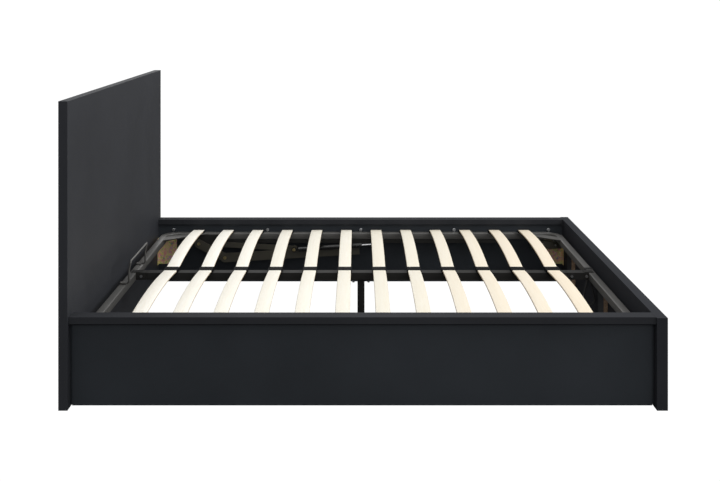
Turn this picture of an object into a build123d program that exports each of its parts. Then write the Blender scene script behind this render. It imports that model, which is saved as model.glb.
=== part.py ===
"""King-size lift-up storage bed: laminated board surround, hinged slatted steel frame, gas struts.

Frame: millimetres, +Z up, +X from the headboard to the foot, origin on the floor under the middle.
The long sides are "right" (-Y) and "left" (+Y).
"""
from build123d import *
import os
from math import atan2, degrees, hypot

# --- Overall sizes, set by a 1500 x 2000 mattress ---
LENGTH = 2096
WIDTH = 1640
HEADBOARD_H = 1064
HEADBOARD_T = 32
FOOT_T = 38
RAIL_TOP = 319  # top of the foot panel and of the side caps
EDGE = 1.0  # rounding of the laminated edges

# --- Side boards ---
CAP_W = 55
CAP_T = 25
CAP_INSET = 9  # cap face behind the headboard's side edge
SIDE_T = 25
SIDE_INSET = 29
SHADOW_GAP = 8  # rebate round the side panel's outer face
SIDE_LOW = 7  # the side panels hang clear of the floor

# --- Reference faces ---
HEAD_FACE = -LENGTH / 2 + HEADBOARD_T
FOOT_FACE = LENGTH / 2 - FOOT_T
CAP_OUT = WIDTH / 2 - CAP_INSET
CAP_IN = CAP_OUT - CAP_W
SIDE_OUT = WIDTH / 2 - SIDE_INSET
SIDE_IN = SIDE_OUT - SIDE_T
CAP_UNDER = RAIL_TOP - CAP_T

# --- Lifting frame ---
TUBE_W = 30
TUBE_H = 32
TUBE_WALL = 1.5
TUBE_TOP = 261
TUBE_Z = TUBE_TOP - TUBE_H
FRAME_HEAD = HEAD_FACE + 30  # outer face of the head tube
FRAME_FOOT = FOOT_FACE - 20
FRAME_OUT = CAP_IN - 9
FRAME_IN = FRAME_OUT - TUBE_W
BEND_R = 90  # outer radius of the tube's corners
BRACE_T = 3
CENTRE_W = 44
CENTRE_H = 30
CENTRE_WALL = 2
HALF_GAP = 0.15  # half of the seam between the two tube halves
BRACE_X = (120, 205)  # where the corner gusset meets the side tube, from the inner corner
BRACE_Y = (85, 150)  # where it meets the head or foot tube
SPIGOT_LEN = 60
HEAD_STUB = 43
FOOT_STUB = 90
SEAM = 1.5
LUG_LEN = 40
LUG_OVER = 22

# --- Slats ---
ROWS = 12
ROW_PITCH = 147.1
FIRST_ROW = HEAD_FACE + 207
SLAT_W = 54
SLAT_T = 8
SLAT_END_Z = 271  # top of a slat at its ends
SLAT_RISE = 20  # how far its middle is arched above them
SLAT_IN = 6
SLAT_OUT = FRAME_OUT - 6
HOLDER_W = 59
HOLDER_HALF = 34
HOLDER_TOP = SLAT_END_Z + 4
HOLDER_LIFT = 1.5
CAP_GRIP = 46

# --- Lifting mechanism: pivots in the XZ plane ---
PIN_A = (HEAD_FACE + 210, 209)  # rear link on the lifting rail
PIN_B = (HEAD_FACE + 340, 141)  # rear link on the fixed plate
PIN_C = (HEAD_FACE + 684, 186)  # strut and front link on the fixed plate
PIN_D = (HEAD_FACE + 1087, 212)  # top of the strut on the lifting rail
PIN_F = (HEAD_FACE + 340, 205)  # front link on the lifting rail
STEEL = 4  # thickness of plates, links and tabs
PLAY = 0.3  # gap between neighbouring steel layers
BORE_PLAY = 0.05  # radial clearance of a turning pin
TAB_Y = FRAME_IN - STEEL  # inner face of the tabs
LINK_Y = TAB_Y - PLAY - STEEL
PLATE_Y = LINK_Y - PLAY - STEEL
STRUT_Y = 690
PLATE_H = 45
PLATE_END = HEAD_FACE + 1008
RAIL_H = 18
RAIL_WALL = 2
RAIL_HEAD = HEAD_FACE + 160
RAIL_FOOT = HEAD_FACE + 1757
PIN_R = 5
HEAD_R = 8
HEAD_T = 3
PLATE_RISE = 40  # of the plate's centreline from pin B to its square end
PLATE_EAR = 16
STANDOFF_X = [150, 390, 610]  # from pin B
STANDOFF_W = 44
STANDOFF_H = 30
STANDOFF_DROP = 6
STANDOFF_FOOT = 18
REAR_LINK_R = 21
FRONT_LINK_R = 13
TAB_R = 15
TAB_TOP = 252

# --- Gas strut, measured along its axis from pin C ---
STRUT_LEN = hypot(PIN_D[0] - PIN_C[0], PIN_D[1] - PIN_C[1])
CYL_R = 11
CYL_BORE = 9
CYL_MOUTH = 336
CYL_BACK = 22
ROD_R = 4
PISTON_R = 8.9
CYL_END = 6
CYL_GUIDE = 12
PISTON_S = 45
PISTON_LEN = 8
EYE_R = 11
EYE_T = 10
EYE_NECK = 12
SOCKET_R = 8
SOCKET_T = 14
SOCKET_NECK = 22

# --- Brackets, leg and small parts ---
BRACKET_X = 92
BRACKET_Y = 30
BRACKET_Z = 130
BRACKET_LOW = 96
BRACKET_T = 2.5
REST_LEN = 150
REST_H = 35
REST_TOP = 218
PAD_R = 15
LEG = 30
LEG_X = HEAD_FACE + 1012
LEG_PLATE = 90
LEG_BOLT = 32
BOLT_DROP = 13
FOOT_CAP = 6
SCREW_R = 5
SCREW_X = [28, 68]
SCREW_Z = [BRACKET_LOW + 28, BRACKET_LOW + BRACKET_Z - 28]
SCREW_Y = 20
REST_SCREW_X = [-45, 45]
BOLT_R = 8
BOLT_Z = 266
BOLT_X = [75, 546, 1014, 1482, 1955]  # from the headboard's face
BATTEN_T = 17
BATTEN_W = 100
BATTEN_LOW = 20
BATTEN_Y = [-524, -92, 524]
WIRE_R = 4
RETAINER_W = 322
RETAINER_H = 98
RETAINER_Y = -38
RETAINER_LOOP = 13  # width of the flat loop at each foot
STRAP_W = 25
STRAP_T = 2
STRAP_Y = 45
STRAP_DROP = 125
STRAP_LOOP = 54

RIGHT = -1
LEFT = 1
SIDES = {"right": RIGHT, "left": LEFT}


def save(part, name):
    """Label one finished sub-part and write it."""
    part.label = name
    export_step(part, f"parts/{name}.step")


def side_plane(y):
    """A plane facing -Y at the given y, with local axes X and Z."""
    return Plane.XZ.offset(-y)


def slot_between(a, b, radius):
    """Sketch a link outline: a round-ended bar from centre a to centre b."""
    middle = ((a[0] + b[0]) / 2, (a[1] + b[1]) / 2)
    tilt = degrees(atan2(b[1] - a[1], b[0] - a[0]))
    with Locations(middle):
        SlotCenterToCenter(hypot(b[0] - a[0], b[1] - a[1]), 2 * radius, rotation=tilt)


def finish_side(side):
    """Every handed part is drawn on the right side; the left one is its mirror image."""
    if side == LEFT:
        mirror(about=Plane.XZ, mode=Mode.REPLACE)


os.makedirs("parts", exist_ok=True)

# ---------------------------------------------------------------- boards
with BuildPart() as headboard:
    with BuildSketch(Plane.XY):
        with Locations(((-LENGTH / 2 + HEAD_FACE) / 2, 0)):
            Rectangle(HEADBOARD_T, WIDTH)
    extrude(amount=HEADBOARD_H)
    fillet(headboard.edges(), EDGE)
save(headboard.part, "headboard")

with BuildPart() as foot_panel:
    with BuildSketch(Plane.XY):
        with Locations(((LENGTH / 2 + FOOT_FACE) / 2, 0)):
            Rectangle(FOOT_T, WIDTH)
    extrude(amount=RAIL_TOP)
    fillet(foot_panel.edges(), EDGE)
save(foot_panel.part, "foot_panel")

side_mid = (HEAD_FACE + FOOT_FACE) / 2
side_len = FOOT_FACE - HEAD_FACE
for name, side in SIDES.items():
    # the outer face is rebated at the top and both ends, which leaves a dark shadow gap
    with BuildPart() as side_panel:
        with BuildSketch(side_plane(-SIDE_IN)):
            with Locations((side_mid, (CAP_UNDER + SIDE_LOW) / 2)):
                Rectangle(side_len, CAP_UNDER - SIDE_LOW)
        extrude(amount=SIDE_T - SHADOW_GAP)
        with BuildSketch(side_plane(-SIDE_OUT + SHADOW_GAP)):
            with Locations((side_mid, (CAP_UNDER - SHADOW_GAP + SIDE_LOW) / 2)):
                Rectangle(side_len - 2 * SHADOW_GAP, CAP_UNDER - SHADOW_GAP - SIDE_LOW)
        extrude(amount=SHADOW_GAP)
        finish_side(side)
    save(side_panel.part, f"side_panel_{name}")

    with BuildPart() as side_cap:
        with BuildSketch(Plane.XY.offset(CAP_UNDER)):
            with Locations((side_mid, side * (CAP_IN + CAP_OUT) / 2)):
                Rectangle(side_len, CAP_W)
        extrude(amount=CAP_T)
        fillet(side_cap.edges().filter_by(Axis.X), EDGE)
    save(side_cap.part, f"side_cap_{name}")

with BuildPart() as foot_battens:
    with BuildSketch(Plane.XY.offset(BATTEN_LOW)):
        with Locations(*[(FOOT_FACE - BATTEN_T / 2, y) for y in BATTEN_Y]):
            Rectangle(BATTEN_T, BATTEN_W)
    extrude(amount=TUBE_Z - 6 - BATTEN_LOW)
save(foot_battens.part, "foot_battens")

# ---------------------------------------------------------------- brackets and their fasteners
with BuildPart() as corner_brackets:
    for x_face, run in ((HEAD_FACE, 1), (FOOT_FACE, -1)):
        for side in (RIGHT, LEFT):
            with BuildSketch(Plane.XY.offset(BRACKET_LOW)):
                with BuildLine():
                    Polyline(
                        (x_face + run * BRACKET_X, side * (SIDE_IN - BRACKET_T / 2)),
                        (x_face + run * BRACKET_T / 2, side * (SIDE_IN - BRACKET_T / 2)),
                        (x_face + run * BRACKET_T / 2, side * (SIDE_IN - BRACKET_Y)),
                    )
                trace(line_width=BRACKET_T)
            extrude(amount=BRACKET_Z)
save(corner_brackets.part, "corner_brackets")

rest_x = FOOT_FACE - 15 - REST_LEN / 2
rest_in = FRAME_IN - 1
rest_out = SIDE_IN - BRACKET_T
with BuildPart() as rest_brackets:
    for side in (RIGHT, LEFT):
        # inverted channel that carries the corner of the lowered frame
        with BuildSketch(Plane.XY.offset(REST_TOP - REST_H)):
            with Locations((rest_x, side * (rest_in + rest_out) / 2)):
                Rectangle(REST_LEN, rest_out - rest_in)
        extrude(amount=REST_H)
        with BuildSketch(Plane.XY.offset(REST_TOP - REST_H)):
            with Locations((rest_x, side * (rest_in + rest_out) / 2)):
                Rectangle(REST_LEN, rest_out - rest_in - 2 * BRACKET_T)
        extrude(amount=REST_H - BRACKET_T, mode=Mode.SUBTRACT)
save(rest_brackets.part, "rest_brackets")

pad_x = rest_x + REST_LEN / 2 - PAD_R - 4
with BuildPart() as rest_pads:
    with BuildSketch(Plane.XY.offset(REST_TOP)):
        with Locations((pad_x, -(rest_in + PAD_R + 1)), (pad_x, rest_in + PAD_R + 1)):
            Circle(PAD_R)
    extrude(amount=TUBE_Z - PLAY - REST_TOP)
    fillet(rest_pads.faces().group_by(Axis.Z)[-1].edges(), 2)
save(rest_pads.part, "rest_pads")

with BuildPart() as cap_bolts:
    for side in (RIGHT, LEFT):
        plane = side_plane(side * SIDE_IN)
        with BuildSketch(plane):
            with Locations(*[(HEAD_FACE + x, BOLT_Z) for x in BOLT_X]):
                Circle(BOLT_R)
        extrude(amount=side * HEAD_T)
    fillet(cap_bolts.edges().filter_by(GeomType.CIRCLE), EDGE)
save(cap_bolts.part, "cap_bolts")

# screws lie along Y through the side legs of the brackets, or along X through the end legs
side_screws = [
    (x_face + run * x, z)
    for x_face, run in ((HEAD_FACE, 1), (FOOT_FACE, -1))
    for x in SCREW_X
    for z in SCREW_Z
    if run == 1 or z < REST_TOP - REST_H  # the rest brackets cover the upper ones at the foot
]
end_screws = [(side * (SIDE_IN - SCREW_Y), z) for side in (RIGHT, LEFT) for z in SCREW_Z]
with BuildPart() as bracket_screws:
    for side in (RIGHT, LEFT):
        with BuildSketch(side_plane(side * (SIDE_IN - BRACKET_T))):
            with Locations(*side_screws):
                Circle(SCREW_R)
        extrude(amount=side * HEAD_T)
        for x in REST_SCREW_X:
            with BuildSketch(side_plane(side * rest_in)):
                with Locations((rest_x + x, REST_TOP - REST_H / 2)):
                    RegularPolygon(SCREW_R, 6)
            extrude(amount=side * HEAD_T)
    for x_face, run in ((HEAD_FACE, 1), (FOOT_FACE, -1)):
        with BuildSketch(Plane.YZ.offset(x_face + run * BRACKET_T)):
            with Locations(*end_screws):
                Circle(SCREW_R)
        extrude(amount=run * HEAD_T)
save(bracket_screws.part, "bracket_screws")

# ---------------------------------------------------------------- lifting mechanism
tilt = degrees(atan2(PLATE_RISE, PLATE_END - PIN_B[0]))
for name, side in SIDES.items():
    # fixed plate: a bar rounded about pin B, on three hat-shaped stand-offs from the side panel
    with BuildPart() as mechanism_plate:
        with BuildSketch(side_plane(-PLATE_Y)):
            with Locations(PIN_B):
                Circle(PLATE_H / 2)
            with Locations(Location((*PIN_B, 0), (0, 0, tilt))):
                Rectangle(PLATE_END - PIN_B[0], PLATE_H, align=(Align.MIN, Align.CENTER))
            with Locations(PIN_C):
                Circle(PLATE_EAR)
            with Locations(PIN_B, PIN_C):
                Circle(PIN_R, mode=Mode.SUBTRACT)
        extrude(amount=STEEL)
        for x in STANDOFF_X:
            z = PIN_B[1] + x * PLATE_RISE / (PLATE_END - PIN_B[0])
            with BuildSketch(side_plane(-PLATE_Y - STEEL)):
                with Locations((PIN_B[0] + x, z - STANDOFF_DROP)):
                    Rectangle(STANDOFF_W, STANDOFF_H)
                    Rectangle(STANDOFF_W - 2 * STEEL, STANDOFF_H, mode=Mode.SUBTRACT)
            extrude(amount=SIDE_IN - PLATE_Y - STEEL)
            with BuildSketch(side_plane(-SIDE_IN)):
                with Locations((PIN_B[0] + x, z - STANDOFF_DROP)):
                    Rectangle(STANDOFF_W + 2 * STANDOFF_FOOT, STANDOFF_H)
            extrude(amount=-STEEL)
        finish_side(side)
    save(mechanism_plate.part, f"mechanism_plate_{name}")

    with BuildPart() as rear_link:
        with BuildSketch(side_plane(-LINK_Y)):
            slot_between(PIN_A, PIN_B, REAR_LINK_R)
            with Locations(PIN_A, PIN_B):
                Circle(PIN_R + BORE_PLAY, mode=Mode.SUBTRACT)
        extrude(amount=STEEL)
        finish_side(side)
    save(rear_link.part, f"rear_link_{name}")

    # the front link's own rivet head stops short of the rail's tab: this joint is left open
    with BuildPart() as front_link:
        with BuildSketch(side_plane(-LINK_Y)):
            slot_between(PIN_F, PIN_C, FRONT_LINK_R)
            with Locations(PIN_C):
                Circle(PIN_R + BORE_PLAY, mode=Mode.SUBTRACT)
        extrude(amount=STEEL)
        with BuildSketch(side_plane(-LINK_Y)):
            with Locations(PIN_F):
                Circle(HEAD_R)
        extrude(amount=-HEAD_T)
        finish_side(side)
    save(front_link.part, f"front_link_{name}")

    along = (PIN_D[0] - PIN_C[0], 0, PIN_D[1] - PIN_C[1])
    strut_foot = (PIN_C[0], -STRUT_Y, PIN_C[1])
    strut_plane = Plane(origin=strut_foot, x_dir=along, z_dir=(0, -1, 0))
    strut_axis = Plane(origin=strut_foot, x_dir=(0, -1, 0), z_dir=along)

    # cylinder: hollow tube with a closed back, a guide at its mouth and an eye for pin C
    with BuildPart() as gas_cylinder:
        with BuildSketch(strut_plane):
            Circle(EYE_R)
            with Locations((CYL_BACK / 2, 0)):
                Rectangle(CYL_BACK, EYE_NECK)
            Circle(PIN_R + BORE_PLAY, mode=Mode.SUBTRACT)
        extrude(amount=EYE_T / 2, both=True)
        with BuildSketch(strut_axis.offset(CYL_BACK)):
            Circle(CYL_R)
        extrude(amount=CYL_MOUTH - CYL_BACK)
        with BuildSketch(strut_axis.offset(CYL_BACK + CYL_END)):
            Circle(CYL_BORE)
        extrude(amount=CYL_MOUTH - CYL_BACK - CYL_END - CYL_GUIDE, mode=Mode.SUBTRACT)
        with BuildSketch(strut_axis.offset(CYL_BACK + CYL_END)):
            Circle(ROD_R + BORE_PLAY)
        extrude(amount=CYL_MOUTH - CYL_BACK - CYL_END, mode=Mode.SUBTRACT)
        finish_side(side)
    save(gas_cylinder.part, f"gas_cylinder_{name}")

    # rod with its piston and the ball socket that faces the rail's ball stud: this joint is left open
    with BuildPart() as gas_rod:
        with BuildSketch(strut_axis.offset(PISTON_S)):
            Circle(PISTON_R)
        extrude(amount=PISTON_LEN)
        with BuildSketch(strut_axis.offset(PISTON_S)):
            Circle(ROD_R)
        extrude(amount=STRUT_LEN - PISTON_S)
        with BuildSketch(strut_plane):
            with Locations((STRUT_LEN, 0)):
                Circle(SOCKET_R)
            with Locations((STRUT_LEN - SOCKET_NECK / 2, 0)):
                Rectangle(SOCKET_NECK, 2 * ROD_R + 6)
        extrude(amount=SOCKET_T / 2, both=True)
        finish_side(side)
    save(gas_rod.part, f"gas_rod_{name}")

    # lifting rail: a box section under the side tube, with a tab for each pivot
    with BuildPart() as lift_rail:
        with BuildSketch(Plane.YZ.offset(RAIL_HEAD)):
            with Locations((-(FRAME_IN + TUBE_W / 2), TUBE_Z - RAIL_H / 2)):
                Rectangle(TUBE_W, RAIL_H)
                Rectangle(TUBE_W - 2 * RAIL_WALL, RAIL_H - 2 * RAIL_WALL, mode=Mode.SUBTRACT)
        extrude(amount=RAIL_FOOT - RAIL_HEAD)
        with BuildSketch(side_plane(-TAB_Y)):
            slot_between(PIN_A, PIN_F, TAB_R)
            with Locations((PIN_D[0], PIN_D[1])):
                Circle(TAB_R)
            for x, width in ((PIN_A[0] / 2 + PIN_F[0] / 2, PIN_F[0] - PIN_A[0]), (PIN_D[0], 0)):
                with Locations((x, TAB_TOP / 2 + PIN_A[1] / 2)):
                    Rectangle(width + 2 * TAB_R, TAB_TOP - PIN_A[1])
            with Locations(PIN_A, PIN_D):
                Circle(PIN_R, mode=Mode.SUBTRACT)
        extrude(amount=STEEL)
        finish_side(side)
    save(lift_rail.part, f"lift_rail_{name}")


def add_pin(centre, parts):
    """Stack coaxial discs along Y: each is (inner y, outer y, radius), drawn on the right side."""
    for inner, outer, radius in parts:
        with BuildSketch(side_plane(-inner)) as disc:
            with Locations(centre):
                Circle(radius)
        extrude(disc.sketch, amount=outer - inner)


eye_in = STRUT_Y - EYE_T / 2
eye_out = STRUT_Y + EYE_T / 2
with BuildPart() as base_pins:
    pin_head = (PLATE_Y - HEAD_T, PLATE_Y, HEAD_R)
    add_pin(PIN_B, [pin_head, (PLATE_Y, LINK_Y + STEEL, PIN_R)])
    strut_nut = (eye_in - PLAY - HEAD_T, eye_in - PLAY, HEAD_R)
    strut_shoulder = (eye_out + PLAY, PLATE_Y, HEAD_R)
    add_pin(PIN_C, [strut_nut, (eye_in - PLAY, LINK_Y + STEEL, PIN_R), strut_shoulder])
    mirror(about=Plane.XZ)
save(base_pins.part, "base_pins")

with BuildPart() as rail_pins:
    add_pin(PIN_A, [(LINK_Y - PLAY - HEAD_T, LINK_Y - PLAY, HEAD_R), (LINK_Y - PLAY, FRAME_IN, PIN_R)])
    stud_in = STRUT_Y + SOCKET_T / 2 + PLAY
    add_pin(PIN_D, [(stud_in, TAB_Y, HEAD_R - 2), (TAB_Y, FRAME_IN, PIN_R)])
    mirror(about=Plane.XZ)
save(rail_pins.part, "rail_pins")

# ---------------------------------------------------------------- lifting frame
frame_len = FRAME_FOOT - FRAME_HEAD
frame_mid = (FRAME_FOOT + FRAME_HEAD) / 2


def frame_ring(inset, low, height, mode):
    """A rounded rectangular band of tube section, narrowed by inset on each wall."""
    with BuildSketch(Plane.XY.offset(low)) as ring:
        with Locations((frame_mid, 0)):
            outer = (frame_len - 2 * inset, 2 * FRAME_OUT - 2 * inset)
            RectangleRounded(*outer, BEND_R - inset)
            shrink = 2 * (TUBE_W - 2 * inset)
            inner_r = BEND_R - TUBE_W + inset
            RectangleRounded(outer[0] - shrink, outer[1] - shrink, inner_r, mode=Mode.SUBTRACT)
    extrude(ring.sketch, amount=height, mode=mode)


for name, side in SIDES.items():
    with BuildPart() as frame_tube:
        frame_ring(0, TUBE_Z, TUBE_H, Mode.ADD)
        frame_ring(TUBE_WALL, TUBE_Z + TUBE_WALL, TUBE_H - 2 * TUBE_WALL, Mode.SUBTRACT)
        # flat gusset across each corner; a sliver stays open between it and the bend
        for x_in, run in ((FRAME_HEAD + TUBE_W, 1), (FRAME_FOOT - TUBE_W, -1)):
            with BuildSketch(Plane.XY.offset(TUBE_TOP - BRACE_T)):
                with BuildLine():
                    Polyline(
                        (x_in, -FRAME_IN + BRACE_Y[0]),
                        (x_in, -FRAME_IN + BRACE_Y[1]),
                        (x_in + run * BRACE_X[1], -FRAME_IN),
                        (x_in + run * BRACE_X[0], -FRAME_IN),
                        close=True,
                    )
                make_face()
            extrude(amount=BRACE_T)
        split(bisect_by=Plane.XZ.offset(HALF_GAP), keep=Keep.TOP)
        if side == RIGHT:
            # spigots on this half slide into the open ends of the other
            for x in (FRAME_HEAD + TUBE_W / 2, FRAME_FOOT - TUBE_W / 2):
                with BuildSketch(Plane.XZ.offset(-SPIGOT_LEN)):
                    with Locations((x, TUBE_Z + TUBE_H / 2)):
                        bore = (TUBE_W - 2 * TUBE_WALL, TUBE_H - 2 * TUBE_WALL)
                        Rectangle(bore[0] - PLAY, bore[1] - PLAY)
                        Rectangle(bore[0] - 3, bore[1] - 3, mode=Mode.SUBTRACT)
                extrude(amount=SPIGOT_LEN)
                with BuildSketch(Plane.XZ):
                    with Locations((x, TUBE_Z + TUBE_H / 2)):
                        Rectangle(*bore)
                        Rectangle(bore[0] - 3, bore[1] - 3, mode=Mode.SUBTRACT)
                extrude(amount=SPIGOT_LEN / 2)
        finish_side(side)
    save(frame_tube.part, f"frame_tube_{name}")

rail_from = FRAME_HEAD + TUBE_W
rail_to = FRAME_FOOT - TUBE_W
rail_runs = [
    (rail_from, rail_from + HEAD_STUB),
    (rail_from + HEAD_STUB + SEAM, rail_to - FOOT_STUB - SEAM),
    (rail_to - FOOT_STUB, rail_to),
]
with BuildPart() as centre_rail:
    # a stub on each cross tube, and the rail between them
    for start, stop in rail_runs:
        with BuildSketch(Plane.YZ.offset(start)):
            with Locations((0, TUBE_TOP - CENTRE_H / 2)):
                Rectangle(CENTRE_W, CENTRE_H)
                hollow = CENTRE_H - 2 * CENTRE_WALL
                Rectangle(CENTRE_W - 2 * CENTRE_WALL, hollow, mode=Mode.SUBTRACT)
        extrude(amount=stop - start)
    # a flattened lug at each end lies on top of the head and foot tubes
    for x, run in ((rail_from, -1), (rail_to, 1)):
        with BuildSketch(Plane.XY.offset(TUBE_TOP)):
            with Locations((x - run * LUG_LEN / 2 + run * LUG_OVER, 0)):
                Rectangle(LUG_LEN, CENTRE_W - 8)
        extrude(amount=CENTRE_WALL)
save(centre_rail.part, "centre_rail")

rail_under = TUBE_TOP - CENTRE_H
leg_top = rail_under - BRACE_T
with BuildPart() as centre_leg:
    with BuildSketch(Plane.XY.offset(FOOT_CAP)):
        with Locations((LEG_X, 0)):
            RectangleRounded(LEG, LEG, 3)
            RectangleRounded(LEG - 2 * TUBE_WALL, LEG - 2 * TUBE_WALL, 2, mode=Mode.SUBTRACT)
    extrude(amount=leg_top - FOOT_CAP)
    with BuildSketch(Plane.XY.offset(leg_top)):
        with Locations((LEG_X, 0)):
            Rectangle(LEG_PLATE, CENTRE_W - 8)
    extrude(amount=BRACE_T)
save(centre_leg.part, "centre_leg")

with BuildPart() as leg_foot:
    with BuildSketch(Plane.XY):
        with Locations((LEG_X, 0)):
            RectangleRounded(LEG + 3, LEG + 3, 4)
    extrude(amount=FOOT_CAP)
    chamfer(leg_foot.faces().sort_by(Axis.Z)[0].edges(), 1)
save(leg_foot.part, "leg_foot")

with BuildPart() as frame_bolts:
    # two under the leg's plate, and a pair of cross bolts through each end of the centre rail
    with BuildSketch(Plane.XY.offset(leg_top)):
        with Locations((LEG_X - LEG_BOLT, 0), (LEG_X + LEG_BOLT, 0)):
            RegularPolygon(SCREW_R, 6)
    extrude(amount=-BOLT_DROP)
    bolt_z = TUBE_TOP - CENTRE_H / 2
    cross = [rail_from + HEAD_STUB / 2, rail_to - 9, rail_to - FOOT_STUB + 18]
    for side in (RIGHT, LEFT):
        with BuildSketch(side_plane(side * CENTRE_W / 2)):
            with Locations(*[(x, bolt_z) for x in cross]):
                Circle(SCREW_R + 1)
        extrude(amount=-side * HEAD_T)
save(frame_bolts.part, "frame_bolts")

# ---------------------------------------------------------------- mattress retainer and pull strap
wire_z = TUBE_TOP + WIRE_R
top_z = TUBE_TOP + RETAINER_H - WIRE_R
foot_x = FRAME_HEAD + WIRE_R
rise_x = FRAME_HEAD + TUBE_W + 10
half = RETAINER_W / 2 - WIRE_R
# each end: a flat loop on the tube's top, then the leg, which leans a little towards the foot
end_route = [
    (rise_x - 16, half - RETAINER_LOOP, wire_z),
    (foot_x, half - RETAINER_LOOP, wire_z),
    (foot_x, half, wire_z),
    (rise_x, half, wire_z),
    (rise_x - 1, half, wire_z + 50),
    (rise_x + 7, half, top_z),
]
route = [(x, RETAINER_Y - y, z) for x, y, z in end_route]
route += [(x, RETAINER_Y + y, z) for x, y, z in reversed(end_route)]
bends = [6, 6, 11, 60, 9]
with BuildPart() as mattress_retainer:
    with BuildLine() as wire:
        FilletPolyline(*route, radius=bends + bends[::-1])
    with BuildSketch(Plane(origin=wire.line @ 0, z_dir=wire.line % 0)):
        Circle(WIRE_R)
    sweep()
save(mattress_retainer.part, "mattress_retainer")

strap_x = FRAME_FOOT - TUBE_W / 2
loop_z = TUBE_Z - STRAP_DROP + STRAP_LOOP / 2
with BuildPart() as pull_strap:
    # a band round the tube, and the drop-shaped hand loop that hangs from it
    with BuildSketch(Plane.XZ.offset(-STRAP_Y - STRAP_W / 2)):
        with Locations((strap_x, TUBE_Z + TUBE_H / 2)):
            RectangleRounded(TUBE_W + 2 * STRAP_T, TUBE_H + 2 * STRAP_T, STRAP_T)
        with BuildLine():
            top = (strap_x, TUBE_Z)
            left = Line(top, (strap_x - STRAP_LOOP / 2, loop_z))
            low = (strap_x, TUBE_Z - STRAP_DROP)
            round_end = ThreePointArc(left @ 1, low, (strap_x + STRAP_LOOP / 2, loop_z))
            Line(round_end @ 1, top)
        make_face()
        with BuildLine():
            inset = STRAP_LOOP / 2 - STRAP_T
            top = (strap_x, TUBE_Z - 5 * STRAP_T)
            left = Line(top, (strap_x - inset, loop_z))
            inner_low = (strap_x, TUBE_Z - STRAP_DROP + STRAP_T)
            round_end = ThreePointArc(left @ 1, inner_low, (strap_x + inset, loop_z))
            Line(round_end @ 1, top)
        make_face(mode=Mode.SUBTRACT)
        with Locations((strap_x, TUBE_Z + TUBE_H / 2)):
            Rectangle(TUBE_W, TUBE_H, mode=Mode.SUBTRACT)
    extrude(amount=STRAP_W)
save(pull_strap.part, "pull_strap")

# ---------------------------------------------------------------- slats and their holders
rows = [FIRST_ROW + i * ROW_PITCH for i in range(ROWS)]
slat_mid = (SLAT_IN + SLAT_OUT) / 2


def slat_outline(raised=0):
    """Sketch lines of a sprung slat's arched side view, its top face raised to open a notch."""
    top = SLAT_END_Z + raised
    low = SLAT_END_Z - SLAT_T
    over = ThreePointArc((-SLAT_OUT, top), (-slat_mid, top + SLAT_RISE), (-SLAT_IN, top))
    under = ThreePointArc((-SLAT_OUT, low), (-slat_mid, low + SLAT_RISE), (-SLAT_IN, low))
    Line(over @ 0, under @ 0)
    Line(over @ 1, under @ 1)


for name, side in SIDES.items():
    for i, x in enumerate(rows):
        with BuildPart() as slat:
            with BuildSketch(Plane.YZ.offset(x - SLAT_W / 2)):
                with BuildLine():
                    slat_outline()
                make_face()
            extrude(amount=SLAT_W)
            finish_side(side)
        save(slat.part, f"{name}_slat_{i + 1:02d}")

with BuildPart() as slat_holders:
    # a double cap over the two inner slat ends, standing on the centre rail
    for x in rows:
        with BuildSketch(Plane.YZ.offset(x - HOLDER_W / 2)):
            with BuildLine():
                Polyline(
                    (-HOLDER_HALF, HOLDER_TOP - 2),
                    (-HOLDER_HALF, TUBE_TOP + HOLDER_LIFT),
                    (-CENTRE_W / 2, TUBE_TOP),
                    (CENTRE_W / 2, TUBE_TOP),
                    (HOLDER_HALF, TUBE_TOP + HOLDER_LIFT),
                    (HOLDER_HALF, HOLDER_TOP - 2),
                )
                shoulder = HOLDER_TOP - 2
                ThreePointArc((-HOLDER_HALF, shoulder), (0, HOLDER_TOP), (HOLDER_HALF, shoulder))
            make_face()
        extrude(amount=HOLDER_W)
        for side in (RIGHT, LEFT):
            with BuildSketch(Plane.YZ.offset(x - SLAT_W / 2)):
                with BuildLine():
                    slat_outline()
                make_face()
                if side == LEFT:
                    mirror(about=Plane.YZ, mode=Mode.REPLACE)
            extrude(amount=SLAT_W, mode=Mode.SUBTRACT)
save(slat_holders.part, "slat_holders")

with BuildPart() as slat_end_caps:
    # an open shoe under the outer end of every slat, standing on the side tube
    for x in rows:
        with BuildSketch(Plane.YZ.offset(x - HOLDER_W / 2)):
            with BuildLine():
                Polyline(
                    (-FRAME_OUT + 1, TUBE_TOP),
                    (-FRAME_OUT + 1, SLAT_END_Z - 1),
                    (-SLAT_OUT + CAP_GRIP, SLAT_END_Z + 2),
                    (-SLAT_OUT + CAP_GRIP, SLAT_END_Z - 4),
                    (-FRAME_IN, SLAT_END_Z - 7),
                    (-FRAME_IN, TUBE_TOP),
                    close=True,
                )
            make_face()
        extrude(amount=HOLDER_W)
        with BuildSketch(Plane.YZ.offset(x - SLAT_W / 2)):
            with BuildLine():
                slat_outline(raised=12)
            make_face()
        extrude(amount=SLAT_W, mode=Mode.SUBTRACT)
    mirror(about=Plane.XZ)
save(slat_end_caps.part, "slat_end_caps")
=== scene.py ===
# %% [markdown]
# # A lift-up storage bed in charcoal board, black steel and pale beech
#
# The bed is a shallow box of laminated boards with a tall headboard. A black
# steel frame carries twelve rows of sprung slats and lifts on links and gas
# struts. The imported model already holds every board, tube and bracket at its
# real size, so this lesson gives each of them its finish, and rebuilds the
# pieces whose shape is softer than the plain model shows.

# %% Load the frame
import math

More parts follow.
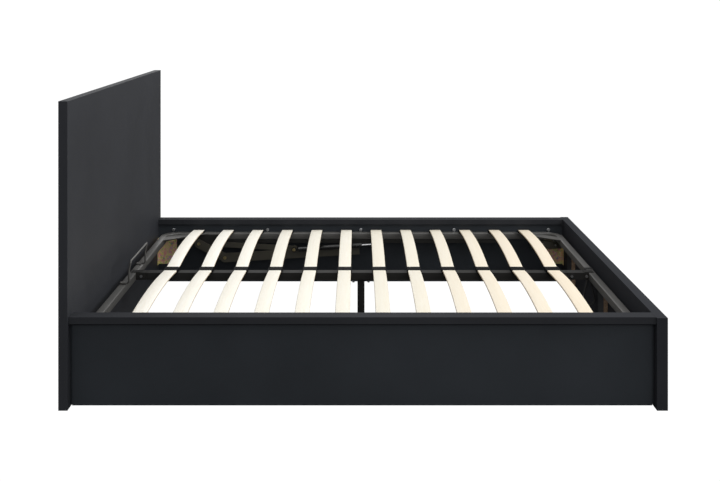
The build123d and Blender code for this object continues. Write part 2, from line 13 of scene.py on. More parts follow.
import bmesh
import bpy
import numpy as np
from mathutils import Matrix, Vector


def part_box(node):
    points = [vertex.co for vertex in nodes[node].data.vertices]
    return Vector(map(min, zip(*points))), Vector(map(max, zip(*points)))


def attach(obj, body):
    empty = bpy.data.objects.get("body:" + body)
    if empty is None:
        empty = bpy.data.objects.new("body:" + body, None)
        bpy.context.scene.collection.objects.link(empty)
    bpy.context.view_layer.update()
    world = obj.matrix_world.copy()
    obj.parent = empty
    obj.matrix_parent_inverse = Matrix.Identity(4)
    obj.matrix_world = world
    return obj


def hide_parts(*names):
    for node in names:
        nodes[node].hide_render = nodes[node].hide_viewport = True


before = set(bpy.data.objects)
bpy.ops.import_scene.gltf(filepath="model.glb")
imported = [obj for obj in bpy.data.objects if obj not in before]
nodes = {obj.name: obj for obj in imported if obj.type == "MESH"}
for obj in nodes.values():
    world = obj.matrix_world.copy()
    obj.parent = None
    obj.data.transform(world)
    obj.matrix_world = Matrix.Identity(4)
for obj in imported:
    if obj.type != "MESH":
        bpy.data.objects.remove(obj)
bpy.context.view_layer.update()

# %% [markdown]
# ## Camera
#
# The bed is seen square on from its long side, from a little over the head
# height of someone sitting, with the lens shifted down so that upright boards
# stay upright. It is what an architect's camera does: the camera stays level,
# and the lens slides instead of tilting.

# %% Camera
CAMERA_PLACE = (-0.021, -4.268, 1.397)
SENSOR_WIDTH = 36.0
FOCAL_LENGTH = 50.17
LENS_SHIFT = (0.0042, -0.328)

scene = bpy.context.scene
camera_data = bpy.data.cameras.new("camera")
camera = bpy.data.objects.new("camera", camera_data)
scene.collection.objects.link(camera)
scene.camera = camera
camera.location = CAMERA_PLACE
camera.rotation_euler = (math.pi / 2, 0.0, 0.0)
camera_data.sensor_width = SENSOR_WIDTH
camera_data.lens = FOCAL_LENGTH
camera_data.shift_x, camera_data.shift_y = LENS_SHIFT
camera_data.dof.use_dof = False
print("camera looks along +Y from", tuple(camera.location))

# %% [markdown]
# ## Floor
#
# The floor looks plain white to the camera. A floor that bounced that much
# light would fill the shadows inside the bed, so other rays meet a duller
# paint, which sends back 14 percent of what falls on it. A Light Path node
# tells the two kinds of ray apart.

# %% Floor
FLOOR_REACH = 30.0
FLOOR_PAINT = 0.14
SHOWN_WHITE = 1.05


def split_by_ray(tree, lit, shown, output):
    """Camera rays meet the shader called shown, and every other ray meets lit."""
    ray = tree.nodes.new("ShaderNodeLightPath")
    choose = tree.nodes.new("ShaderNodeMixShader")
    tree.links.new(ray.outputs["Is Camera Ray"], choose.inputs[0])
    tree.links.new(lit.outputs[0], choose.inputs[1])
    tree.links.new(shown.outputs[0], choose.inputs[2])
    tree.links.new(choose.outputs[0], tree.nodes[output].inputs["Surface"])


floor_data = bpy.data.meshes.new("floor")
corner_signs = [(-1, -1), (1, -1), (1, 1), (-1, 1)]
corners = [(x * FLOOR_REACH, y * FLOOR_REACH, 0) for x, y in corner_signs]
floor_data.from_pydata(corners, [], [(0, 1, 2, 3)])
floor = bpy.data.objects.new("floor", floor_data)
scene.collection.objects.link(floor)
floor_paint = bpy.data.materials.new("floor_paint")
floor_paint.use_nodes = True
paint = floor_paint.node_tree.nodes["Principled BSDF"]
paint.inputs["Base Color"].default_value = (FLOOR_PAINT, FLOOR_PAINT, FLOOR_PAINT, 1)
paint.inputs["Roughness"].default_value = 0.9
glow = floor_paint.node_tree.nodes.new("ShaderNodeEmission")
glow.inputs["Strength"].default_value = SHOWN_WHITE
split_by_ray(floor_paint.node_tree, paint, glow, "Material Output")
floor_data.materials.append(floor_paint)
print("floor: %.0f m square" % (2 * FLOOR_REACH))

# %% [markdown]
# ## Room
#
# The room is a white world. It shows as plain white too, and lights the bed
# at half strength from every side, which keeps the dark boards dark.

# %% Room
WALL_LIGHT = 0.50

world = bpy.data.worlds.new("white_room")
scene.world = world
world.use_nodes = True
walls = world.node_tree.nodes["Background"]
walls.inputs["Color"].default_value = (1, 1, 1, 1)
walls.inputs["Strength"].default_value = WALL_LIGHT
backdrop = world.node_tree.nodes.new("ShaderNodeBackground")
backdrop.inputs["Color"].default_value = (1, 1, 1, 1)
backdrop.inputs["Strength"].default_value = SHOWN_WHITE
split_by_ray(world.node_tree, walls, backdrop, "World Output")
scene.view_settings.view_transform = "Standard"
print("room: white, lighting at strength", WALL_LIGHT)

# %% [markdown]
# ## Lights
#
# Dark laminate shows its shape only by what it reflects. A light much larger
# than the bed hangs overhead and gives the caps and the tubes their paler
# tops. A strong one beyond the foot works as a window and lights the face of
# the headboard. Weaker ones stand in front, behind and over the head, where
# the headboard takes light away from the first slats. The camera doesn't see
# the lamps themselves.

# %% Lights
def soft_light(name, place, aim, size, power):
    """A square area lamp of the given width, turned from place towards aim.

    It turns about Z by the direction's bearing less a quarter turn, and tips
    up from straight down by atan2(level distance, drop)."""
    data = bpy.data.lights.new(name, "AREA")
    data.shape = "SQUARE"
    data.size = size
    data.energy = power
    lamp = bpy.data.objects.new(name, data)
    lamp.visible_camera = False
    scene.collection.objects.link(lamp)
    lamp.location = place
    direction = np.array(aim, float) - np.array(place, float)
    bearing = math.atan2(direction[1], direction[0])
    level = math.hypot(direction[0], direction[1])
    lamp.rotation_euler = (math.atan2(level, -direction[2]), 0.0, bearing - math.pi / 2)
    print("light %s: %.1f m wide, %.0f W" % (name, size, power))


soft_light("overhead", place=(0.0, -0.4, 4.2), aim=(0.0, 0.0, 0.3), size=5.0, power=62)
soft_light("front", place=(0.9, -5.0, 2.6), aim=(0.0, 0.0, 0.4), size=2.5, power=50)
soft_light("back", place=(-0.6, 4.6, 3.2), aim=(-0.4, 0.0, 0.3), size=2.4, power=36)
soft_light("head", place=(-0.9, -0.8, 3.0), aim=(-0.8, -0.2, 0.3), size=1.0, power=9)
soft_light("window", place=(4.4, -0.6, 3.0), aim=(-0.9, 0.0, 0.3), size=2.6, power=190)

# %% [markdown]
# ## Small tools for finishes
#
# Every finish below is a Principled shader with a few procedural textures.
# These helpers keep each recipe to a handful of lines: one starts a material
# with its fixed numbers on the shader's own sockets, one makes a noise, one
# turns a texture into a colour, and one turns a texture into fine relief.

# %% Finish tools
class Finish:
    """A procedural material under construction."""

    def __init__(self, name, colour, roughness, **fixed):
        self.material = bpy.data.materials.new(name)
        self.material.use_nodes = True
        self.tree = self.material.node_tree
        self.shader = self.tree.nodes["Principled BSDF"]
        self.shader.inputs["Base Color"].default_value = (*colour, 1)
        self.shader.inputs["Roughness"].default_value = roughness
        for socket, value in fixed.items():
            self.shader.inputs[socket.replace("_", " ")].default_value = value
        self.coords = self.tree.nodes.new("ShaderNodeTexCoord")
        print("finish:", name)

    def node(self, kind, **inputs):
        """A new node with its numbered or named inputs set or linked."""
        made = self.tree.nodes.new("ShaderNode" + kind)
        for key, value in inputs.items():
            socket = made.inputs[int(key[1:]) if key[0] == "i" and key[1:].isdigit() else key]
            if hasattr(value, "is_linked"):
                self.tree.links.new(value, socket)
            else:
                socket.default_value = value
        return made

    def place(self, scale=(1, 1, 1), turn=(0, 0, 0), source="Object"):
        """Coordinates stretched by scale and turned, for a texture to read."""
        where = self.coords.outputs[source] if isinstance(source, str) else source
        mapping = self.node("Mapping", Vector=where)
        mapping.inputs["Scale"].default_value = scale
        mapping.inputs["Rotation"].default_value = turn
        return mapping.outputs[0]

    def noise(self, scale, stretch=(1, 1, 1), detail=3.0, rough=0.5, distortion=0.0, source="Object"):
        """A noise of about scale features a metre, squeezed by stretch."""
        made = self.node("TexNoise", Vector=self.place(stretch, source=source), Scale=scale)
        made.inputs["Detail"].default_value = detail
        made.inputs["Roughness"].default_value = rough
        made.inputs["Distortion"].default_value = distortion
        return made.outputs["Fac"]

    def ramp(self, source, stops):
        """source looked up on a ramp of (position, colour) stops."""
        made = self.node("ValToRGB", Fac=source)
        line = made.color_ramp
        while len(line.elements) < len(stops):
            line.elements.new(0.5)
        for element, (position, colour) in zip(line.elements, stops):
            element.position = position
            element.color = (*colour, 1) if hasattr(colour, "__len__") else (colour, colour, colour, 1)
        return made.outputs["Color"]

    def mix(self, amount, first, second, blend="MIX"):
        """first and second colours mixed by amount."""
        made = self.tree.nodes.new("ShaderNodeMix")
        made.data_type = "RGBA"
        made.blend_type = blend
        for socket, value in ((made.inputs[0], amount), (made.inputs[6], first), (made.inputs[7], second)):
            if hasattr(value, "is_linked"):
                self.tree.links.new(value, socket)
            elif hasattr(value, "__len__"):
                socket.default_value = (*value, 1)
            else:
                socket.default_value = value
        return made.outputs[2]

    def calculate(self, operation, first, second):
        """The result of a Math node on first and second."""
        made = self.tree.nodes.new("ShaderNodeMath")
        made.operation = operation
        for socket, value in zip(made.inputs, (first, second)):
            if hasattr(value, "is_linked"):
                self.tree.links.new(value, socket)
            else:
                socket.default_value = value
        return made.outputs[0]

    def colour(self, source):
        """Gives the shader its base colour."""
        self.tree.links.new(source, self.shader.inputs["Base Color"])

    def roughness(self, source, low, high):
        """Roughness that runs from low to high as source goes from 0 to 1."""
        made = self.node("MapRange", Value=source)
        made.inputs["To Min"].default_value = low
        made.inputs["To Max"].default_value = high
        self.tree.links.new(made.outputs[0], self.shader.inputs["Roughness"])

    def relief(self, height, depth, strength=1.0):
        """Fine relief of the given depth in metres."""
        made = self.node("Bump", Height=height, Strength=strength, Distance=depth)
        self.tree.links.new(made.outputs[0], self.shader.inputs["Normal"])

    def normal_part(self, axis):
        """How far the surface faces along X, Y or Z, as a number from 0 to 1."""
        parts = self.node("SeparateXYZ", Vector=self.coords.outputs["Normal"])
        return self.calculate("ABSOLUTE", parts.outputs["XYZ".index(axis)], 0.0)


def give(material, *names):
    """Puts one material on CAD nodes, in place of whatever they came with."""
    for name in names:
        node = nodes[name]
        node.data.materials.clear()
        node.data.materials.append(material)
    print(material.name, "on", len(names), "pieces")


# %% [markdown]
# ## Charcoal laminate
#
# The boards are faced with a matt melamine sheet in a blue-grey charcoal.
# Up close it has a faint press texture, is cloudy by a few percent and is
# slightly smoother in patches. A flat colour would look like paper, so two
# noises of very different size are used: the slow one clouds the tone and the
# sheen, and the fine one specks the colour and gives the pebble relief. The
# headboard, foot panel, sides and caps differ a little in tone and gloss.

# %% Charcoal laminate
def charcoal_laminate(name, colour, roughness, gloss):
    """Matt melamine: colour clouded by 12 percent, with a pebble of 0.05 mm."""
    board = Finish(name, colour, roughness, Specular_IOR_Level=gloss)
    clouds = board.noise(3.0, detail=4.0)
    pebble = board.noise(900.0, detail=2.0)
    dark = tuple(0.88 * part for part in colour)
    pale = tuple(1.12 * part for part in colour)
    tone = board.ramp(clouds, [(0.3, dark), (0.7, pale)])
    specks = board.ramp(pebble, [(0.35, 0.90), (0.65, 1.08)])
    board.colour(board.mix(1.0, tone, specks, "MULTIPLY"))
    board.roughness(clouds, roughness - 0.05, roughness + 0.05)
    board.relief(pebble, 0.00005, 0.6)
    return board.material


side_laminate = charcoal_laminate("side_laminate", (0.0235, 0.0275, 0.0330), 0.55, 0.20)
head_laminate = charcoal_laminate("head_laminate", (0.0255, 0.0272, 0.0320), 0.52, 0.18)
foot_laminate = charcoal_laminate("foot_laminate", (0.0235, 0.0248, 0.0290), 0.58, 0.04)
cap_laminate = charcoal_laminate("cap_laminate", (0.0275, 0.0288, 0.0325), 0.55, 0.02)
give(side_laminate, "side_panel_left", "side_panel_right")
give(head_laminate, "headboard")
give(foot_laminate, "foot_panel")
give(cap_laminate, "side_cap_left", "side_cap_right")

# %% [markdown]
# ## Raw board edges
#
# The battens inside the foot panel are the same board, but their cut edges
# are left raw: warm chipboard, flakes and small dark gaps. The finish asks
# which way the surface faces, and shows chips only on the cut edges.

# %% Raw board edges
batten = Finish("batten_board", (0.02, 0.022, 0.025), 0.6, Specular_IOR_Level=0.3)
flakes = batten.tree.nodes.new("ShaderNodeTexVoronoi")
flakes.inputs["Scale"].default_value = 420.0
batten.tree.links.new(batten.place((1, 1, 0.45)), flakes.inputs["Vector"])
chip_tone = batten.ramp(flakes.outputs["Color"], [(0.15, (0.24, 0.155, 0.10)), (0.9, (0.50, 0.36, 0.25))])
chip_gaps = batten.ramp(flakes.outputs["Distance"], [(0.0, 1.0), (0.75, 0.75), (1.0, 0.35)])
chips = batten.mix(1.0, chip_tone, chip_gaps, "MULTIPLY")
cut_edge = batten.ramp(batten.normal_part("Y"), [(0.4, 0.0), (0.6, 1.0)])
batten.colour(batten.mix(cut_edge, (0.019, 0.021, 0.024), chips))
batten.relief(flakes.outputs["Distance"], 0.0003, 0.4)
give(batten.material, "foot_battens")

# %% [markdown]
# ## Yellow passivated zinc
#
# The corner brackets are zinc plated and dipped in yellow passivate, which
# leaves a film thin enough to show rainbow tints: straw over most of it, with
# drifts of rose and green. One slow noise moves the tint along a ramp and a
# stretched fine noise gives the rolled grain.

# %% Yellow zinc and bright zinc
def plated(name, stops, roughness, drift=14.0, metal=1.0):
    """Plated steel whose tint drifts along stops, with a fine rolled grain."""
    plate = Finish(name, stops[0][1], roughness, Metallic=metal)
    tint = plate.noise(drift, detail=3.0, distortion=1.2)
    plate.colour(plate.ramp(tint, stops))
    grain = plate.noise(260.0, stretch=(1, 1, 0.08), detail=2.0)
    plate.roughness(grain, roughness - 0.08, roughness + 0.10)
    plate.relief(grain, 0.00004, 0.5)
    return plate.material


straw = [
    (0.30, (0.30, 0.62, 0.30)),
    (0.42, (0.85, 0.72, 0.24)),
    (0.50, (0.92, 0.76, 0.46)),
    (0.58, (0.90, 0.36, 0.34)),
    (0.70, (0.52, 0.56, 0.74)),
]
bright = [(0.3, (0.55, 0.56, 0.58)), (0.7, (0.66, 0.67, 0.68))]
brassy = [(0.3, (0.52, 0.42, 0.20)), (0.7, (0.66, 0.54, 0.30))]
give(plated("yellow_zinc", straw, 0.40, 75.0, 0.40), "corner_brackets")
give(plated("bright_zinc", bright, 0.30), "cap_bolts", "bracket_screws", "frame_bolts")
give(plated("pin_zinc", brassy, 0.28), "base_pins", "rail_pins")

# %% [markdown]
# ## Black powder coat
#
# Frame, links and rails are sprayed with powder and baked. The paint is a
# warm black with the shallow ripple of orange peel, and a slow noise clouds
# its tone and sheen. The ring of the frame is glossy enough that the tops of
# its tubes shine grey, while the centre rail, its leg and the lifting rails
# have a flatter, blacker coat; their blacker colour is painted shade, for
# parts that lie in shade inside the bed.

# %% Black powder coat
def powder_coat(name, colour, roughness, gloss=0.5, ripple=0.00012):
    """Satin paint clouded by 10 percent, with an orange peel relief ripple metres deep."""
    coat = Finish(name, colour, roughness, Specular_IOR_Level=gloss)
    peel = coat.noise(340.0, detail=1.5)
    dust = coat.noise(7.0, detail=2.0)
    dark = tuple(0.9 * part for part in colour)
    pale = tuple(1.1 * part for part in colour)
    coat.colour(coat.ramp(dust, [(0.35, dark), (0.72, pale)]))
    coat.roughness(dust, roughness - 0.06, roughness + 0.10)
    coat.relief(peel, ripple, 0.5)
    return coat.material


frame_coat = powder_coat("frame_powder_coat", (0.062, 0.060, 0.056), 0.42, 0.80, 0.00003)
# painted shade: the same powder coat, painted blacker for the rails and leg that lie in shade inside the
# bed
rail_coat_painted_shade = powder_coat("rail_powder_coat_painted_shade", (0.022, 0.0215, 0.0205), 0.50, 0.06, 0.00003)
links_coat = powder_coat("links_powder_coat", (0.052, 0.048, 0.036), 0.42)
give(frame_coat, "frame_tube_left", "frame_tube_right", "mattress_retainer")
give(rail_coat_painted_shade, "lift_rail_left", "lift_rail_right", "centre_rail", "centre_leg")
give(
    links_coat,
    "rest_brackets",
    "mechanism_plate_left",
    "mechanism_plate_right",
    "rear_link_left",
    "rear_link_right",
    "front_link_left",
    "front_link_right",
)

# %% [markdown]
# ## Gas struts
#
# Each strut is a cylinder sprayed gloss black and a hard chrome rod. The
# cylinder's paint is smoother than the frame's. The rod is plated like the
# fixings, in neutral tones, with a lower roughness and the same fine grain.

# %% Gas struts
cylinder_coat = powder_coat("cylinder_gloss_coat", (0.006, 0.006, 0.006), 0.22, 0.5, 0.00005)
neutral = [(0.3, (0.50, 0.50, 0.51)), (0.7, (0.60, 0.60, 0.61))]
rod_chrome = plated("rod_chrome", neutral, 0.14, 30.0)
give(cylinder_coat, "gas_cylinder_left", "gas_cylinder_right")
give(rod_chrome, "gas_rod_left", "gas_rod_right")

# %% [markdown]
# ## Moulded plastic
#
# The slat holders and end caps are tough black polypropylene with a
# spark-eroded skin, and the leg's foot and the rest pads are a softer black
# with more sheen. Both need only a tight grain and an uneven gloss.

# %% Moulded plastic
def moulded(name, colour, roughness, gloss=0.4, grain=1500.0):
    """Moulded plastic: tone clouded by 15 to 20 percent, with grain features a metre."""
    plastic = Finish(name, colour, roughness, Specular_IOR_Level=gloss)
    skin = plastic.noise(grain, detail=2.0)
    flow = plastic.noise(30.0, detail=2.0, distortion=0.8)
    pale = tuple(1.2 * part for part in colour)
    dark = tuple(0.85 * part for part in colour)
    plastic.colour(plastic.ramp(flow, [(0.3, dark), (0.7, pale)]))
    plastic.roughness(flow, roughness - 0.06, roughness + 0.06)
    plastic.relief(skin, 0.00004, 0.6)
    return plastic.material


holder_plastic = moulded("holder_plastic", (0.006, 0.006, 0.0065), 0.55, 0.02)
give(holder_plastic, "slat_holders", "slat_end_caps")
give(moulded("foot_plastic", (0.010, 0.010, 0.010), 0.60), "leg_foot", "rest_pads")

# %% [markdown]
# ## A surface from rows of points
#
# Slats, tubes, covers and straps are all the same idea: one closed outline
# carried along a path. The outline and the path are worked out as whole
# arrays, giving a grid of points with one row per step, and one function
# joins the rows into a skin.

# %% Carried outlines
def skin(name, grid, closed=False):
    """A mesh over grid[row, point]: each row is a closed outline, joined to the next.

    An open run is closed by one face at each end; a closed run joins its last
    row to its first."""
    rows, around, _ = grid.shape
    index = np.arange(rows * around).reshape(rows, around)
    start, stop = (index, np.roll(index, -1, axis=0)) if closed else (index[:-1], index[1:])
    quads = np.stack([start, np.roll(start, -1, 1), np.roll(stop, -1, 1), stop], axis=-1)
    faces = quads.reshape(-1, 4).tolist()
    if not closed:
        faces += [index[0, ::-1].tolist(), index[-1].tolist()]
    mesh = bpy.data.meshes.new(name)
    mesh.from_pydata(grid.reshape(-1, 3).tolist(), [], faces)
    turn_outwards(mesh)
    mesh.shade_smooth()
    piece = bpy.data.objects.new(name, mesh)
    scene.collection.objects.link(piece)
    return piece


def turn_outwards(mesh):
    """Makes every face of a closed mesh point outwards."""
    shell = bmesh.new()
    shell.from_mesh(mesh)
    bmesh.ops.recalc_face_normals(shell, faces=shell.faces)
    shell.to_mesh(mesh)
    shell.free()


def rounded_outline(width, height, radius, steps=4):
    """Points of a width by height rectangle with corners of the given radius.

    Each point is a corner's centre plus radius times (cos, sin) of an angle
    that runs once round."""
    angles = np.linspace(0, math.pi / 2, steps + 1)
    turns = (angles[None, :] + np.arange(4)[:, None] * math.pi / 2).ravel()
    centre_u = np.repeat([1, -1, -1, 1], steps + 1) * (width / 2 - radius)
    centre_v = np.repeat([1, 1, -1, -1], steps + 1) * (height / 2 - radius)
    return centre_u + radius * np.cos(turns), centre_v + radius * np.sin(turns)


def number_on_points(piece, name, values):
    """Stores one number per vertex, for a material to read."""
    store = piece.data.attributes.new(name, "FLOAT", "POINT")
    store.data.foreach_set("value", np.asarray(values, np.float32))


# %% [markdown]
# ## Pale beech
#
# A sprung slat is several layers of beech glued up in a curve and sanded. Its
# grain runs along its length: long soft streaks, short dark ray flecks, and
# thin glue lines that show on its edges. Each slat carries a number of its own,
# and a ramp turns that number into a tint, from peach at 0 to plain ivory at 1.
# The tint is partly the slats' own tone, which differs a little at random, and
# partly painted light, which pales the slats where less light falls on them.

# %% Pale beech
beech = Finish("pale_beech", (0.86, 0.76, 0.64), 0.48, Specular_IOR_Level=0.35)
streaks = beech.noise(26.0, stretch=(6.0, 0.16, 6.0), detail=5.0, rough=0.62, distortion=0.4)
flecks = beech.noise(160.0, stretch=(4.0, 0.35, 4.0), detail=1.0)
slat_tone_and_painted_light = beech.node("Attribute")
slat_tone_and_painted_light.attribute_name = "tone"
layer = beech.node("Attribute")
layer.attribute_name = "layer"
ivory = [(0.28, (0.925, 0.875, 0.765)), (0.50, (0.955, 0.920, 0.830)), (0.72, (0.975, 0.950, 0.880))]
cream = beech.ramp(streaks, ivory)
ray_flecks = beech.ramp(flecks, [(0.30, (0.965, 0.945, 0.91)), (0.40, (1, 1, 1))])
grained = beech.mix(1.0, cream, ray_flecks, "MULTIPLY")
# painted light: the ivory end of this ramp pales the slats that get less light, and the peach end is partly
# the slats' own warmer tone
peach_tint_and_painted_light = [
    (0.0, (0.76, 0.69, 0.60)),
    (0.5, (0.76, 0.745, 0.70)),
    (0.87, (0.90, 0.90, 0.89)),
    (1.0, (1, 1, 1)),
]
tint = beech.ramp(slat_tone_and_painted_light.outputs["Fac"], peach_tint_and_painted_light)
toned = beech.mix(1.0, grained, tint, "MULTIPLY")
GLUED_LAYERS = 5
depth = beech.calculate("MULTIPLY", layer.outputs["Fac"], 2 * math.pi * GLUED_LAYERS)
layers = beech.calculate("SINE", depth, 0.0)
glue = [(0.0, (0.62, 0.50, 0.38)), (0.35, (0.86, 0.78, 0.66)), (1.0, (0.92, 0.86, 0.76))]
glue_lines = beech.ramp(layers, glue)
on_edge = beech.ramp(beech.normal_part("X"), [(0.75, 0.0), (0.95, 1.0)])
beech.colour(beech.mix(on_edge, toned, beech.mix(1.0, toned, glue_lines, "MULTIPLY")))
beech.roughness(streaks, 0.42, 0.58)
beech.relief(beech.calculate("ADD", streaks, flecks), 0.00010, 0.35)

# %% [markdown]
# ## Sprung slats
#
# Twenty-four slats, two to a row. Each is bent so that its middle stands
# about 20 mm above its ends, and its long edges are rounded over. The centre
# line is part of a circle: with half a span h and a rise r its radius is
# (h squared + r squared) / 2r. The tint runs from ivory at the head to a
# warmer and darker tint at the foot, with a little seeded chance. The run from
# head to foot is partly the foot slats' own warmer tone and partly painted
# light: the head slats are painted paler, where the headboard takes light
# away, so that the rows come out evenly bright.

# %% Sprung slats
SLAT_THICK = 0.008
SLAT_EDGE = 0.0030
SLAT_STEPS = 37
# painted light: the head slats get a paler tone than the foot slats, to make up for the light the headboard
# takes away
TONE_AND_PAINTED_LIGHT_AT_HEAD = 0.95
TONE_AND_PAINTED_LIGHT_AT_FOOT = 0.08
TONE_CHANCE = 0.06


def sprung_slat(node):
    """A slat from its node's box: a rounded outline carried along a circular arch.

    Height over the ends at distance d from the middle is
    sqrt(R^2 - d^2) - (R - rise)."""
    low, high = (np.array(corner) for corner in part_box(node))
    half_span = (high[1] - low[1]) / 2
    rise = high[2] - low[2] - SLAT_THICK
    radius = (half_span**2 + rise**2) / (2 * rise)
    along = np.linspace(-half_span, half_span, SLAT_STEPS)
    arch = np.sqrt(radius**2 - along**2) - (radius - rise)
    across, up = rounded_outline(high[0] - low[0], SLAT_THICK, SLAT_EDGE, 3)
    grid = np.empty((len(along), len(across), 3))
    grid[..., 0] = (low[0] + high[0]) / 2 + across[None, :]
    grid[..., 1] = (low[1] + high[1]) / 2 + along[:, None]
    grid[..., 2] = low[2] + SLAT_THICK / 2 + arch[:, None] + up[None, :]
    piece = skin("beech_" + node, grid)
    number_on_points(piece, "layer", np.tile(up / SLAT_THICK + 0.5, len(along)))
    return piece


slat_nodes = sorted(name for name in nodes if "_slat_" in name)
# painted light from head to foot, with the slats' own random tone added by the seeded chance
tint_and_painted_light_head_to_foot = np.tile(np.linspace(TONE_AND_PAINTED_LIGHT_AT_HEAD, TONE_AND_PAINTED_LIGHT_AT_FOOT, len(slat_nodes) // 2), 2)
chance = np.random.default_rng(7).uniform(-TONE_CHANCE, TONE_CHANCE, len(slat_nodes))
slat_tones_and_painted_light = tint_and_painted_light_head_to_foot + chance
for name, tone in zip(slat_nodes, slat_tones_and_painted_light):
    slat = sprung_slat(name)
    number_on_points(slat, "tone", np.full(len(slat.data.vertices), tone))
    slat.data.materials.append(beech.material)
    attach(slat, "lift_frame")
    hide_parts(name)
print("slats made:", len(slat_nodes))

# %% [markdown]
# ## Frame tubes
#
# The lifting frame is two half rings of rectangular tube with rolled
# corners, joined on spigots. Rolled tube is never sharp: its edges have a
# radius of a few millimetres, and that is what draws the thin bright line
# along it. The tube's outline is carried round a path of straights and
# quarter circles.

# %% Frame tubes
TUBE_WIDE = 0.030
TUBE_TALL = 0.032
TUBE_EDGE = 0.0040
TUBE_BEND = 0.090
SEAM_HALF = 0.0003


def half_ring(x_head, x_foot, y_out, side, steps=14):
    """Middle line of half the frame, from the head seam round to the foot seam.

    A corner's points are its centre plus the bend radius times (cos, sin)."""
    radius = TUBE_BEND - TUBE_WIDE / 2
    head, foot, out = x_head + TUBE_WIDE / 2, x_foot - TUBE_WIDE / 2, y_out - TUBE_WIDE / 2
    turn = np.linspace(0, math.pi / 2, steps)
    first = np.column_stack([head + radius - radius * np.cos(turn), out - radius + radius * np.sin(turn)])
    second = np.column_stack([foot - radius + radius * np.sin(turn), out - radius + radius * np.cos(turn)])
    line = np.vstack([[[head, SEAM_HALF]], first, second, [[foot, SEAM_HALF]]])
    line[:, 1] *= side
    return line


def carried_tube(line, across, up, middle_z):
    """An outline carried along a flat line: point = line + across * sideways, and up along Z."""
    steps = np.gradient(line, axis=0)
    steps /= np.hypot(*steps.T)[:, None]
    sideways = np.column_stack([-steps[:, 1], steps[:, 0]])
    grid = np.empty((len(line), len(across), 3))
    grid[..., :2] = line[:, None, :] + across[None, :, None] * sideways[:, None, :]
    grid[..., 2] = middle_z + up[None, :]
    return grid


outline_u, outline_v = rounded_outline(TUBE_WIDE, TUBE_TALL, TUBE_EDGE, 4)
for side_name, side in (("left", 1), ("right", -1)):
    low, high = (np.array(corner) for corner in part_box("frame_tube_" + side_name))
    y_out = max(abs(low[1]), abs(high[1]))
    line = half_ring(low[0], high[0], y_out, side)
    grid = carried_tube(line, outline_u, outline_v, high[2] - TUBE_TALL / 2)
    tube = skin("frame_half_" + side_name, grid)
    tube.data.materials.append(frame_coat)
    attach(tube, "lift_frame")
    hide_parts("frame_tube_" + side_name)
    print("%s: %.0f mm out from the middle" % (tube.name, 1000 * y_out))

# %% [markdown]
# ## Corner gussets
#
# A flat plate is welded across each corner of the ring, a little below the
# tubes' top. In plan it is a slanted strip, and a small bevel softens its
# edges as the tubes' are.

# %% Corner gussets
GUSSET_ACROSS = (0.085, 0.150)
GUSSET_ALONG = (0.120, 0.205)
GUSSET_OVERLAP = 0.004
GUSSET_SUNK = 0.0005
GUSSET_THICK = 0.0030


def soft_plate(name, corners, low, high, edge=0.0008):
    """A flat plate with the given plan corners and a small bevel along its edges."""
    count = len(corners)
    points = [(x, y, z) for z in (low, high) for x, y in corners]
    around = [(i, (i + 1) % count, count + (i + 1) % count, count + i) for i in range(count)]
    mesh = bpy.data.meshes.new(name)
    mesh.from_pydata(points, [], [tuple(range(count))[::-1], tuple(range(count, 2 * count)), *around])
    turn_outwards(mesh)
    plate = bpy.data.objects.new(name, mesh)
    scene.collection.objects.link(plate)
    bevel = plate.modifiers.new("soft_edge", "BEVEL")
    bevel.width = edge
    bevel.segments = 2
    return plate


for side_name, side in (("left", 1), ("right", -1)):
    low, high = (np.array(corner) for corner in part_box("frame_tube_" + side_name))
    y_in = max(abs(low[1]), abs(high[1])) - TUBE_WIDE
    top = high[2] - GUSSET_SUNK
    for end_name, x_in, run in (("head", low[0] + TUBE_WIDE, 1), ("foot", high[0] - TUBE_WIDE, -1)):
        corners = [
            (x_in - GUSSET_OVERLAP * run, side * (y_in - GUSSET_ACROSS[0])),
            (x_in - GUSSET_OVERLAP * run, side * (y_in - GUSSET_ACROSS[1])),
            (x_in + GUSSET_ALONG[1] * run, side * (y_in + GUSSET_OVERLAP)),
            (x_in + GUSSET_ALONG[0] * run, side * (y_in + GUSSET_OVERLAP)),
        ]
        gusset = soft_plate("gusset_%s_%s" % (end_name, side_name), corners, top - GUSSET_THICK, top)
        gusset.data.materials.append(frame_coat)
        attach(gusset, "lift_frame")
        print(gusset.name, "made")

# %% [markdown]
# ## Slat holders
#
# Each double holder in the middle clips over two slat ends. Its cover is
# crowned: it rises towards the middle of its width, and its rim is rolled
# over. The cover is a shallow rounded outline whose height is lifted by a
# parabola, drawn in a little at its two ends.

# %% Holder covers
COVER_THICK = 0.0060
COVER_CROWN = 0.0055
COVER_EDGE = 0.0026
COVER_HALF = 0.0300
COVER_SUNK = 0.0015
COVER_DROOP = 0.0015
COVER_STATIONS = np.array([-1, -0.985, -0.93, -0.5, 0, 0.5, 0.93, 0.985, 1])
COVER_SHRINK = np.array([0.93, 0.975, 1, 1, 1, 1, 1, 0.975, 0.93])


def holder_cover(middle_x, half_x, half_y, top):
    """One crowned cover, drawn in near its ends.

    Height = outline + crown (1 - (x / half width)^2) - droop (y / half length)^2."""
    across, up = rounded_outline(2 * half_x, COVER_THICK, COVER_EDGE, 3)
    along = half_y * COVER_STATIONS
    grid = np.empty((len(along), len(across), 3))
    grid[..., 0] = middle_x + across[None, :] * COVER_SHRINK[:, None]
    grid[..., 1] = along[:, None]
    crown = COVER_CROWN * (1 - (across / half_x) ** 2)
    droop = -COVER_DROOP * (along / half_y) ** 2
    rim = up[None, :] * COVER_SHRINK[:, None]
    grid[..., 2] = top - COVER_THICK / 2 + rim + crown[None, :] + droop[:, None]
    return grid


